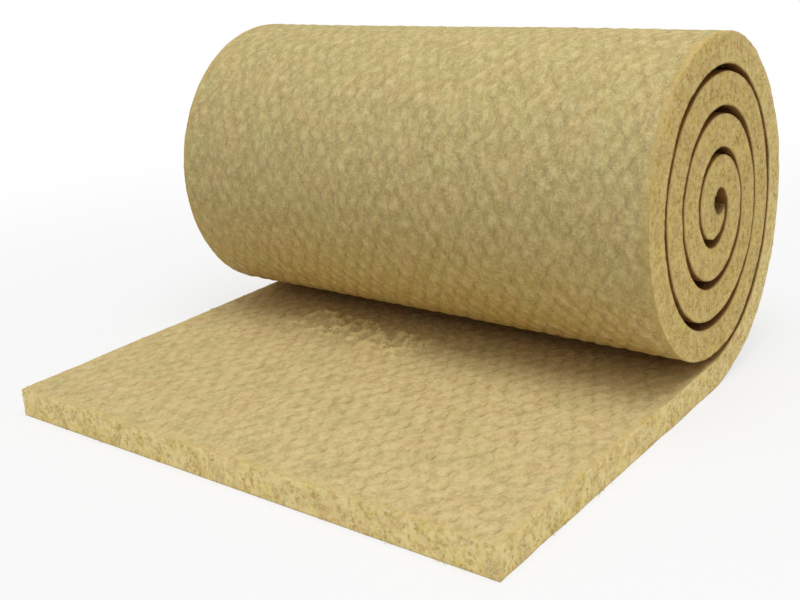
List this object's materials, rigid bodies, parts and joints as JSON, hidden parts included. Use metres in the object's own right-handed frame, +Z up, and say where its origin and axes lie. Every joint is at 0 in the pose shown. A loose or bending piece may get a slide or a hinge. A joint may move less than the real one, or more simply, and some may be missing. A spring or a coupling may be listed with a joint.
{
  "type": "insulation roll",
  "caption": "Mineral wool insulation blanket faced with hexagonal wire netting, loosely wound into an open spiral roll on its side, its outer end laid out flat on the floor.",
  "frame": {"origin": "on the floor, at the middle of the bounding box's bottom face", "axes": "+Z up; Y along the roll's axis and the blanket's width, with the end that the picture shows at -Y; the flat end of the blanket runs out towards -X"},
  "size_m": [0.9728, 1, 0.608],
  "materials": {
    "mineral_wool": "matt, fibrous",
    "netting_wire": "dull, galvanised"
  },
  "bodies": {
    "root": {"blanket": "mineral_wool"}
  },
  "joints": []
}
